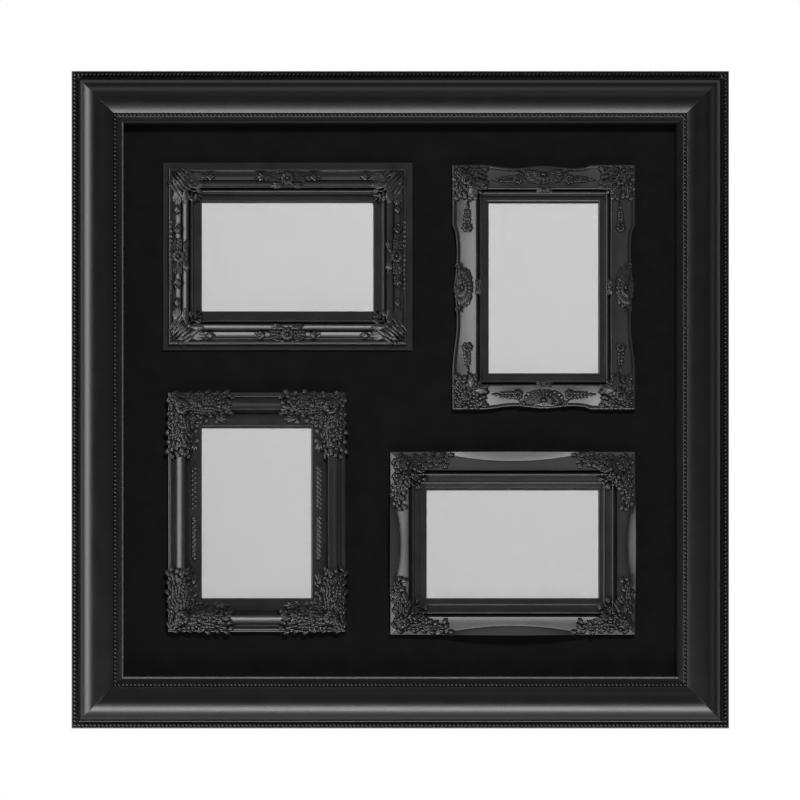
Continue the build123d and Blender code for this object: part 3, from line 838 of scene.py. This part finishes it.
def place_sides(piece, name, which):
    """Copies of a middle spray on all sides of a frame, or on its long or short ones."""
    half_x, half_y = halves(name)
    laid = []
    for turn in (0, 90, 180, 270):
        reach = half_y if turn % 180 == 0 else half_x
        length = "long" if reach == window_short else "short"
        if which not in ("all", length):
            continue
        copy = copy_of(piece, f"{name}_side")
        copy.location = (0, -(reach + band_of[name]) * MM, 0)
        settle(copy)
        copy.rotation_euler = (0, 0, radians(turn))
        laid.append(settle(copy))
    return laid


for name in rows_of:
    print(name, "moulding's bed is up to", round(max(bed_of(name)), 1), "mm high")

# %% The reeded frame's carving
reeded_corner = [
    ("acanthus", 14, 7, 20, 11, 8, 2, True),
    ("acanthus", 17, 15, 15, 9, 8, 356, True),
    ("leaflet", 22, 19, 8, 5, 8, 12, True),
    ("palm", 2.2, 2.2, 30, 21, 8, 45, False),
    ("leaflet", 31, 7, 9, 7, 7, 0, True),
    ("bract", 22, 22, 8, 9, 8, 45, False),
    ("leaflet", 3, 6, 12, 4, 7, 70, True),
]
reeded_side = [
    ("curl", 2, 4, 20, 9, 7, 2, True),
    ("frond", 4, 9, 18, 9, 7, 3, True),
    ("bract", 2, 13, 13, 7, 7, 12, True),
    *ring("bract", 0, 8, (0, 320), 9, 0.5, (6, 4, 8)),
    ("berry", 0, 8, 4, 4, 10, 0, False),
    ("bract", 19, 7, 7, 9, 7, 0, True),
    ("scroll", 25, 8, 6, 7, 6, 0, True),
]
reeded_rim = [("bract", 33 - 4 * n, 1.8, 7, 3.8, 5, 180, True) for n in range(9)]
print(len(reeded_corner), "rows on a corner,", len(reeded_side), "on a side,", len(reeded_rim), "on a rim")

# %% The shell frame's carving
shell_ground = [(x, y) for x in range(4, 26, 4) for y in (3, 7, 11, 15, 19) if y <= x]
shell_corner = [
    *thicket(shell_ground, (7, 4.5, 6), 20),
    ("curl", 14, 6, 17, 12, 8, 350, True),
    ("acanthus", 18, 15, 12, 8, 8, 10, True),
    ("frond", 15, 15, 16, 13, 8, 45, False),
    ("curl", 4, 4, 16, 12, 9, 20, True),
    ("scroll", 22, 6, 7, 7, 7, 0, True),
    *ring("bract", 12, 12, (20, 340), 8, 1, (5, 4, 9)),
    ("berry", 12, 12, 3.4, 3.4, 12, 0, False),
]
shell_side = [
    ("fan", 0, 1.5, 16.5, 38, 5, 90, False),
    *ring("bract", 0, 6, (0, 180), 13, 4, (7, 4, 7), 1.6),
    *ring("bract", 0, 6, (10, 170), 9, 1, (7, 4, 8), 1.4),
    ("scroll", 18, 5, 6, 6, 6, 0, True),
    ("berry", 0, 8, 6.4, 4, 13, 0, False),
    ("bract", 0, 20, 8, 7, 7, 25, True),
    ("berry", 0, 22, 4, 3, 6, 0, False),
]


def sprig(start):
    """A small flowering twig on a panel, its flower towards the side's middle."""
    return [
        ("frond", start + 5, 12, 21, 11, 6, 2, True),
        *[row[:-1] + (True,) for row in ring("bract", start + 3, 12, (0, 315), 7, 0.3, (4.5, 3.4, 6))],
        ("berry", start + 3, 12, 2.2, 2.2, 6, 0, True),
    ]


shell_sprig_short, shell_sprig_long = sprig(19), sprig(48)
print(len(shell_corner), "rows on a corner,", len(shell_side), "on a side,", len(sprig(19)), "in a sprig")

# %% The rose frame's carving
rose_ground = [
    (x, y) for x in range(4, 54, 4) for y in (4, 8, 12, 16, 20, 24, 28)
    if y <= x and y + x * 0.24 < 35
]
rose_corner = [
    *thicket(rose_ground, (7, 4.6, 6), 5),
    ("curl", 18, 8, 20, 14, 8, 352, True),
    ("frond", 31, 8, 18, 12, 8, 357, True),
    ("curl", 34, 17, 17, 12, 8, 350, True),
    ("frond", 24, 18, 18, 10, 8, 10, True),
    ("bract", 42, 24, 13, 8, 7, 4, True),
    ("frond", 20, 20, 13, 13, 8, 45, False),
    ("scroll", 30, 5, 7, 7, 8, 0, True),
    ("scroll", 46, 11, 7, 7, 7, 120, True),
    ("curl", 5, 6, 17, 11, 9, 20, True),
    *ring("bract", 14, 14, (0, 320), 9, 1.5, (6, 5, 9)),
    ("berry", 14, 14, 3.4, 3.4, 13, 0, False),
]
rose_runner = [
    row for n in range(9) for row in (
        ("bract", 2 + 4 * n, 22.5, 6, 4, 5, 25, True),
        ("bract", 4 + 4 * n, 26.5, 6, 4, 5, 335, True),
    )
]
print(len(rose_corner), "rows on a corner,", len(rose_runner), "in a runner")

# %% The berry frame's carving
berry_ground = [
    (x, y) for x in range(4, 50, 4) for y in (4, 8, 12, 16, 20)
    if y <= x and y + x * 0.34 < 24
]
berry_corner = [
    *thicket(berry_ground, (7, 4.6, 6), 5),
    ("curl", 18, 7, 18, 11, 8, 356, True),
    ("frond", 31, 6, 18, 9, 8, 359, True),
    ("curl", 20, 14, 15, 10, 8, 5, True),
    ("frond", 18, 18, 12, 12, 8, 45, False),
    ("scroll", 30, 6, 7, 7, 7, 0, True),
    ("bract", 26, 23, 7, 5, 7, 10, True),
    ("curl", 5, 5, 15, 11, 9, 20, True),
    *ring("bract", 10, 10, (0, 320), 8, 1, (6, 4.5, 9)),
    ("berry", 14, 21, 6, 6, 14, 0, True),
    ("berry", 19, 19, 4.5, 4.5, 13, 0, False),
    ("berry", 9, 15, 4.5, 4.5, 12, 0, True),
]
print(len(berry_corner), "rows on a corner")

# %% Join the sprays and drape them
sprays = {
    "reeded": [
        (spray("reeded_corner", reeded_corner), "corner"),
        (spray("reeded_side", reeded_side, True), "all"),
        (spray("reeded_rim", reeded_rim, True), "short"),
    ],
    "shell": [
        (spray("shell_corner", shell_corner), "corner"),
        (spray("shell_side", shell_side, True), "all"),
        (spray("shell_sprig_short", shell_sprig_short, True), "short"),
        (spray("shell_sprig_long", shell_sprig_long, True), "long"),
    ],
    "rose": [
        (spray("rose_corner", rose_corner), "corner"),
        (spray("rose_runner", rose_runner, True), "long"),
    ],
    "berry": [(spray("berry_corner", berry_corner), "corner")],
}
for name, laid in sprays.items():
    for piece, which in laid:
        drape(piece, name, which == "corner")
        print(piece.name, len(piece.data.polygons), "faces")

# %% [markdown]
# ## Casting and standing the small frames
# On the real object the moulding and its carving are one casting, so they are
# joined. The casting is turned up to face the viewer and moved to its window, and
# its back then lies on the board.

# %% Join each casting and stand it on the board
castings = []
for name, moulding in mouldings.items():
    laid = []
    for piece, which in sprays[name]:
        laid += place_corners(piece, name) if which == "corner" else place_sides(piece, name, which)
    casting = join([moulding, *laid], f"{name}_casting")
    low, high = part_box(f"{name}_glass")
    middle = (low + high) / 2
    casting.rotation_euler = (pi / 2, 0, 0)
    casting.location = (middle.x, board_front, middle.z)
    castings.append(settle(casting))
    print(casting.name, len(casting.data.polygons), "faces")
for laid in sprays.values():
    for piece, which in laid:
        bpy.data.objects.remove(piece)
for piece in kinds.values():
    bpy.data.objects.remove(piece)

# %% [markdown]
# ## Finishes
# Every finish is built from nodes on Object coordinates, so it stays with the piece.
# One function makes all of them but the glass: a colour that varies a little with
# soft noise, a roughness that varies with it, and a fine bump.

# %% A painted or plain finish
bump_depth = 0.3 * MM


def finish(name, dark, light, rough, scale=60, bump=0.1, grain=900, metal=0.0, spread=0.08, **extra):
    """A material with gentle variation in colour and gloss, and a fine bump."""
    material = bpy.data.materials.new(name)
    material.use_nodes = True
    nodes, links = material.node_tree.nodes, material.node_tree.links
    shader = nodes["Principled BSDF"]
    shader.inputs["Metallic"].default_value = metal
    for socket, value in extra.items():
        shader.inputs[socket.replace("_", " ")].default_value = value
    place = nodes.new("ShaderNodeTexCoord")
    cloud = nodes.new("ShaderNodeTexNoise")
    cloud.inputs["Scale"].default_value = scale
    cloud.inputs["Detail"].default_value = 4
    links.new(place.outputs["Object"], cloud.inputs["Vector"])
    ramp = nodes.new("ShaderNodeValToRGB")
    ramp.color_ramp.elements[0].position, ramp.color_ramp.elements[1].position = 0.3, 0.7
    ramp.color_ramp.elements[0].color = (*dark, 1)
    ramp.color_ramp.elements[1].color = (*light, 1)
    links.new(cloud.outputs["Fac"], ramp.inputs["Fac"])
    links.new(ramp.outputs["Color"], shader.inputs["Base Color"])
    gloss = nodes.new("ShaderNodeMapRange")
    gloss.inputs["To Min"].default_value = rough - spread / 2
    gloss.inputs["To Max"].default_value = rough + spread / 2
    links.new(cloud.outputs["Fac"], gloss.inputs["Value"])
    links.new(gloss.outputs["Result"], shader.inputs["Roughness"])
    fine = nodes.new("ShaderNodeTexNoise")
    fine.inputs["Scale"].default_value = grain
    fine.inputs["Detail"].default_value = 3
    links.new(place.outputs["Object"], fine.inputs["Vector"])
    bumps = nodes.new("ShaderNodeBump")
    bumps.inputs["Strength"].default_value = bump
    bumps.inputs["Distance"].default_value = bump_depth
    links.new(fine.outputs["Fac"], bumps.inputs["Height"])
    links.new(bumps.outputs["Normal"], shader.inputs["Normal"])
    return material


def grey(value):
    """A neutral colour."""
    return (value, value, value)


finishes = {
    "moulding_paint": finish("moulding_paint", grey(0.0022), grey(0.0034), 0.36, bump=0.15),
    "board_paint": finish(
        "board_paint", grey(0.0055), grey(0.0075), 0.75, bump=0.25, grain=1500, Specular_IOR_Level=0.03
    ),
    "ornate_paint": finish("ornate_paint", grey(0.015), grey(0.022), 0.32, bump=0.10),
    "print_paper": finish("print_paper", grey(0.57), grey(0.58), 0.7, bump=0.01),
    "filler_card": finish("filler_card", (0.42, 0.38, 0.32), (0.50, 0.45, 0.38), 0.85),
    "back_card": finish("back_card", (0.16, 0.12, 0.08), (0.22, 0.17, 0.12), 0.8, grain=500),
    "bright_steel": finish("bright_steel", grey(0.55), grey(0.62), 0.28, metal=1.0),
    "dark_steel": finish("dark_steel", grey(0.10), grey(0.14), 0.42, metal=1.0),
    "bumper_rubber": finish("bumper_rubber", grey(0.020), grey(0.028), 0.75),
}
print(len(finishes), "finishes")

# %% [markdown]
# ## Clear glass
# The glass is clear and flat. Its shader is a true glass, but it lets lamp light
# through to the print, because a path tracer would otherwise treat that light as a
# caustic and leave the print dark.

# %% Glass that lets the lamps reach the print
def make_glass():
    """Clear glass, see-through for the rays that look for lamps."""
    material = bpy.data.materials.new("clear_glass")
    material.use_nodes = True
    nodes, links = material.node_tree.nodes, material.node_tree.links
    shader = nodes["Principled BSDF"]
    shader.inputs["Base Color"].default_value = (1, 1, 1, 1)
    shader.inputs["Transmission Weight"].default_value = 1.0
    shader.inputs["IOR"].default_value = 1.46
    place = nodes.new("ShaderNodeTexCoord")
    cloud = nodes.new("ShaderNodeTexNoise")
    cloud.inputs["Scale"].default_value = 25
    links.new(place.outputs["Object"], cloud.inputs["Vector"])
    gloss = nodes.new("ShaderNodeMapRange")
    gloss.inputs["To Min"].default_value = 0.0
    gloss.inputs["To Max"].default_value = 0.03
    links.new(cloud.outputs["Fac"], gloss.inputs["Value"])
    links.new(gloss.outputs["Result"], shader.inputs["Roughness"])
    clear = nodes.new("ShaderNodeBsdfTransparent")
    rays = nodes.new("ShaderNodeLightPath")
    mix = nodes.new("ShaderNodeMixShader")
    links.new(rays.outputs["Is Shadow Ray"], mix.inputs["Fac"])
    links.new(shader.outputs["BSDF"], mix.inputs[1])
    links.new(clear.outputs["BSDF"], mix.inputs[2])
    links.new(mix.outputs["Shader"], nodes["Material Output"].inputs["Surface"])
    return material


finishes["clear_glass"] = make_glass()
print("glass ready")

# %% Give every piece its finish, and put the new rails and castings on the frame's body
def dress(piece, slot):
    """Gives a piece the finish of one slot of the record."""
    piece.data.materials.clear()
    piece.data.materials.append(finishes[slot])
    for face in piece.data.polygons:
        face.material_index = 0


slot_of_word = {
    "glass": "clear_glass", "print": "print_paper", "filler": "filler_card",
    "photo_back": "back_card", "turn_button_screws": "bright_steel", "turn_button": "dark_steel",
    "bumpers": "bumper_rubber", "board_points": "bright_steel", "backing_board": "board_paint",
    "rail": "moulding_paint", "frame_staples": "bright_steel", "_frame": "ornate_paint",
}


def slot_of(node):
    """The slot of a construction node: that of the first word found in its name."""
    return next((slot for word, slot in slot_of_word.items() if word in node), "bright_steel")


for node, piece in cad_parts.items():
    dress(piece, slot_of(node))
for piece in rails:
    dress(piece, "moulding_paint")
    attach(piece, "frame")
    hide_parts(piece.name.replace("_dressed", ""))
for piece in castings:
    dress(piece, "ornate_paint")
    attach(piece, "frame")
    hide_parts(piece.name.replace("_casting", "_frame"))

# %% [markdown]
# ## The studio
# The photograph is taken straight on from far off, on plain white. The key lamp, a
# small one in front and above, lights the faces and isn't mirrored in them. Five
# larger lamps show in the gloss alone: one from below, one from above, a fill in
# front and one at the right, and a tall strip close beside the left edge, which
# draws the bright line down the left rail. The last lamp lights the back.

# %% Camera
camera_distance, camera_shift = 4.7355, -0.2 * MM
bpy.ops.object.camera_add(
    location=(camera_shift, -camera_distance, camera_shift), rotation=(pi / 2, 0, 0)
)
camera = bpy.context.object
camera.data.lens = 250
camera.data.sensor_width = 36
camera.data.clip_end = 30
bpy.context.scene.camera = camera
bpy.context.scene.view_settings.view_transform = "Standard"
print("camera", camera_distance, "m away")

# %% Lamps
def softbox(name, place, target, width, height, power):
    """A soft rectangular lamp that faces a point."""
    bpy.ops.object.light_add(type="AREA", location=place)
    lamp = bpy.context.object
    lamp.name = name
    lamp.data.shape = "RECTANGLE"
    lamp.data.size, lamp.data.size_y = width, height
    lamp.data.energy = power
    away = Vector(target) - Vector(place)
    lamp.rotation_euler = away.to_track_quat("-Z", "Y").to_euler()
    print(name, power, "W")
    return lamp


key = softbox("key", (0.35, -2.6, 1.25), (0, 0, 0), 0.35, 0.35, 76)
key.visible_glossy = False
for lamp in (
    softbox("from_below", (0.0, -0.85, -1.05), (0, 0, 0), 1.6, 0.5, 26),
    softbox("left_strip", (-1.0, -0.30, 0.0), (0, -0.02, 0), 0.45, 1.4, 14),
    softbox("from_above", (0.0, -0.6, 1.1), (0, 0, 0), 1.2, 0.4, 2.0),
    softbox("front_fill", (0.45, -2.0, 0.95), (0, 0, 0), 1.3, 0.8, 2.0),
    softbox("right_fill", (1.1, -0.4, 0.0), (0, 0, 0), 0.4, 1.2, 0.8),
):
    lamp.visible_diffuse = False
softbox("behind", (0.3, 2.2, 1.0), (0, 0, 0), 1.6, 1.2, 30)

# %% [markdown]
# ## The room
# In front the world is nearly dark, so that the black paint stays black, and behind
# the object it is pale. The camera sees it white all round. What the gloss mirrors
# and the glass shows turns white as well where it lies well behind the object.

# %% World
world = bpy.data.worlds.new("studio")
bpy.context.scene.world = world
world.use_nodes = True
nodes, links = world.node_tree.nodes, world.node_tree.links
nodes.clear()


def spread_over(output, start, end, low, high):
    """Turns an output's range from start to end into the range from low to high."""
    node = nodes.new("ShaderNodeMapRange")
    for socket, value in zip(("From Min", "From Max", "To Min", "To Max"), (start, end, low, high)):
        node.inputs[socket].default_value = value
    links.new(output, node.inputs["Value"])
    return node.outputs["Result"]


def combine(operation, first, second):
    """One math node fed by two outputs."""
    node = nodes.new("ShaderNodeMath")
    node.operation = operation
    links.new(first, node.inputs[0])
    links.new(second, node.inputs[1])
    return node.outputs["Value"]


rays = nodes.new("ShaderNodeLightPath")
toward = nodes.new("ShaderNodeTexCoord")
split = nodes.new("ShaderNodeSeparateXYZ")
links.new(toward.outputs["Generated"], split.inputs["Vector"])
backwards = split.outputs["Y"]
room = spread_over(backwards, 0.1, 0.6, 0.03, 0.7)
past = spread_over(backwards, 0.1, 0.9, 0.0, 1.0)
mirrored = combine("MAXIMUM", rays.outputs["Is Glossy Ray"], rays.outputs["Is Transmission Ray"])
white = combine("MULTIPLY", mirrored, past)
seen = combine("MAXIMUM", room, rays.outputs["Is Camera Ray"])
sky = nodes.new("ShaderNodeBackground")
sky.inputs["Color"].default_value = (1, 1, 1, 1)
links.new(combine("MAXIMUM", seen, white), sky.inputs["Strength"])
output = nodes.new("ShaderNodeOutputWorld")
links.new(sky.outputs["Background"], output.inputs["Surface"])
print("world", len(nodes), "nodes")

# %% Floor
bpy.ops.object.select_all(action="DESELECT")
bpy.ops.mesh.primitive_plane_add(size=8, location=(0, 0, -1.5))
floor = bpy.context.object
floor.name = "studio_floor"
floor.data.materials.append(finish("floor_paper", grey(0.78), grey(0.80), 0.9, scale=3, bump=0.02))
print("floor", floor.location.z, "m")
